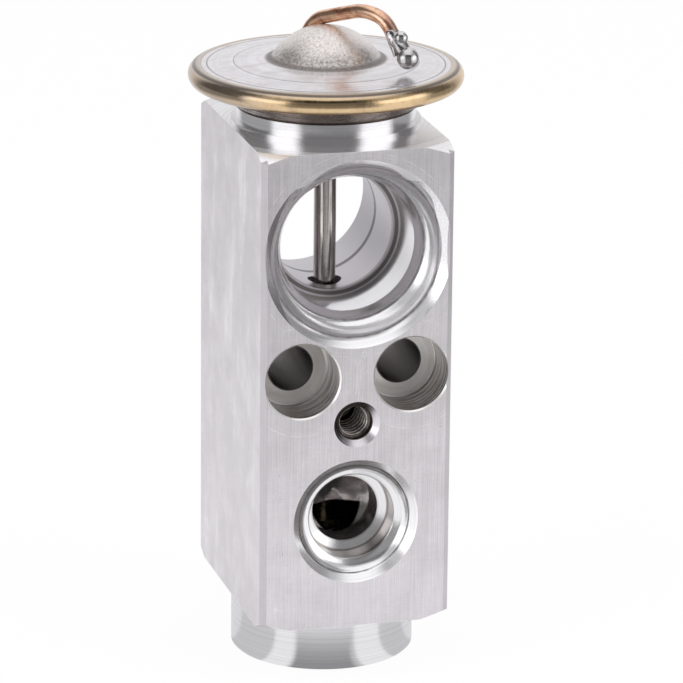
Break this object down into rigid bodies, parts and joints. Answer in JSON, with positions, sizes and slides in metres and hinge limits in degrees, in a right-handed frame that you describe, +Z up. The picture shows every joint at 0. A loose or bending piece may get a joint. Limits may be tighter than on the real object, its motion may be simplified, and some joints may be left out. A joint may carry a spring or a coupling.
{
  "type": "block thermostatic expansion valve",
  "caption": "Aluminium block expansion valve for refrigerant: two stepped through ports, bolt holes, a domed power head with a pinched copper tube, and a sprung ball on a push rod.",
  "frame": {"origin": "centre of the flat end of the bottom boss, the surface the valve stands on", "axes": "+Z up along the valve's axis to the power head; -Y out of the pipe side with the stud hole, +Y out of the evaporator side; +X to the right seen from the pipe side"},
  "size_m": [0.0394, 0.0394, 0.0964],
  "materials": {
    "block_aluminium": "machined",
    "head_steel": "satin",
    "weld_gold": "heat tinted",
    "thin_steel": "bright",
    "tube_copper": "bright",
    "solder_tin": "bright",
    "seal_rubber": "matte",
    "pad_brass": "turned",
    "rod_steel": "ground",
    "spring_steel": "drawn"
  },
  "bodies": {
    "valve": {"valve_body": "block_aluminium", "head_cup": "head_steel", "diaphragm": "thin_steel", "head_cover": "head_steel", "rim_bead": "weld_gold", "charging_tube": "tube_copper", "solder_seal": "solder_tin", "head_o_ring": "seal_rubber", "rod_seal": "seal_rubber", "seal_retainer": "thin_steel", "valve_spring": "spring_steel"},
    "valve_train": {"stopper_pad": "pad_brass", "push_rod": "rod_steel", "valve_ball": "rod_steel", "ball_carrier": "pad_brass"},
    "adjuster_ring": {"adjuster_o_ring": "seal_rubber"},
    "adjuster": {"adjusting_screw": "block_aluminium"}
  },
  "joints": [
    {"name": "valve_lift", "type": "slide", "parent": "valve", "child": "valve_train", "axis": [0, 0, -1], "range_m": [0, 0.0008], "stiffness_N_per_m": 150, "springref_m": -0.003, "deforming": ["valve_spring", "diaphragm"]},
    {"name": "adjuster_travel", "type": "slide", "parent": "valve", "child": "adjuster_ring", "axis": [0, 0, 1], "range_m": [-0.001, 0.002], "deforming": ["valve_spring"]},
    {"name": "adjuster_turn", "type": "hinge", "parent": "adjuster_ring", "child": "adjuster", "pos_m": [0, 0, 0.001], "axis": [0, 0, 1], "range_deg": [-360, 720]}
  ],
  "couplings": [
    {"joint": "adjuster_turn", "follows": "adjuster_travel", "rad_per_m": 6283}
  ]
}
